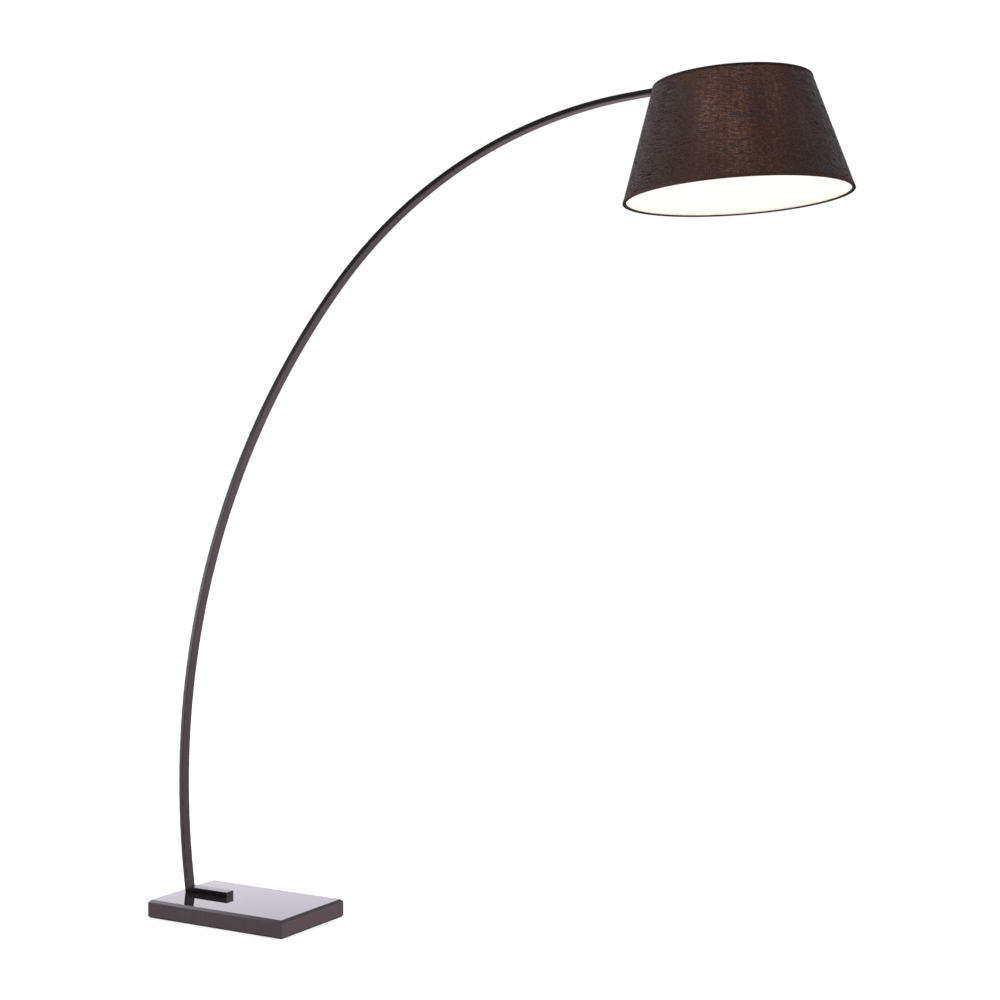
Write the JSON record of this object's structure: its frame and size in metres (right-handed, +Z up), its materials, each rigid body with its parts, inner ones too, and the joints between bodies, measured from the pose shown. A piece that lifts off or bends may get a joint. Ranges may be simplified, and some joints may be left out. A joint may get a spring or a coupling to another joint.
{
  "type": "arc floor lamp",
  "caption": "Tall arc floor lamp: bent rectangular steel tube on a rectangular polished stone base, with a tapered fabric drum shade hung from the arm's end.",
  "frame": {"origin": "centre of the base's underside, on the floor", "axes": "+Z up; +X from the base along the arm's reach, towards the shade; the arc lies in the XZ plane"},
  "size_m": [1.8099, 0.5004, 2.0007],
  "materials": {
    "polished_stone": "polished",
    "pad_foam": "matte",
    "zinc_steel": "satin",
    "black_powder_coat": "satin",
    "black_rubber": "matte",
    "black_plastic": "matte",
    "lead_sheath": "satin",
    "brass": "satin",
    "black_phenolic": "satin",
    "core_ceramic": "satin",
    "contact_brass": "satin",
    "black_linen": "matte",
    "black_binding": "matte",
    "white_liner": "matte",
    "white_wire": "satin",
    "opal_glass": "matte",
    "white_plastic": "satin",
    "bulb_aluminium": "satin",
    "insulator_glass": "gloss"
  },
  "bodies": {
    "stand": {"base_slab": "polished_stone", "base_pad": "pad_foam", "base_bolts": "zinc_steel", "base_washers": "zinc_steel", "foot_bar": "black_powder_coat", "arc_lower": "black_powder_coat", "arc_middle": "black_powder_coat", "arc_upper": "black_powder_coat", "sleeve_lower": "zinc_steel", "sleeve_upper": "zinc_steel", "joint_screws": "zinc_steel", "cord_grommet": "black_rubber", "arm_end_cap": "black_plastic", "supply_lead": "lead_sheath", "head_boss": "black_powder_coat", "nipple": "brass", "lock_washer": "zinc_steel", "lock_nut": "zinc_steel", "socket_cap": "black_phenolic", "socket_body": "black_phenolic", "socket_core": "core_ceramic", "screw_shell": "contact_brass", "centre_contact": "contact_brass"},
    "switch": {"switch_spindle": "brass", "switch_knob": "black_phenolic"},
    "ring": {"shade_ring_nut": "black_phenolic"},
    "shade": {"shade_spider": "white_wire", "top_ring": "white_wire", "bottom_ring": "white_wire", "shade_fabric": "black_linen", "shade_liner": "white_liner", "top_trim": "black_binding", "bottom_trim": "black_binding"},
    "bulb_tip": {"bulb_insulator": "insulator_glass", "bulb_contact": "contact_brass"},
    "bulb": {"bulb_cap": "bulb_aluminium", "bulb_housing": "white_plastic", "bulb_globe": "opal_glass"}
  },
  "joints": [
    {"name": "shade_turn", "type": "hinge", "parent": "stand", "child": "shade", "pos_m": [1.3324, 0, 1.99351], "axis": [-0.0593, 0, 0.9982], "continuous": true},
    {"name": "ring_turn", "type": "hinge", "parent": "stand", "child": "ring", "pos_m": [1.3324, 0, 1.99351], "axis": [-0.0593, 0, 0.9982], "continuous": true},
    {"name": "bulb_travel", "type": "slide", "parent": "stand", "child": "bulb_tip", "axis": [0.0593, 0, -0.9982], "range_m": [0, 0.0255]},
    {"name": "bulb_unscrew", "type": "hinge", "parent": "bulb_tip", "child": "bulb", "pos_m": [1.3324, 0, 1.99351], "axis": [-0.0593, 0, 0.9982], "range_deg": [0, 2520]},
    {"name": "switch_turn", "type": "hinge", "parent": "stand", "child": "switch", "pos_m": [1.33569, 0, 1.93811], "axis": [0.9982, 0, 0.0593], "continuous": true}
  ],
  "couplings": [
    {"joint": "bulb_travel", "follows": "bulb_unscrew", "m_per_rad": 0.00057614}
  ]
}
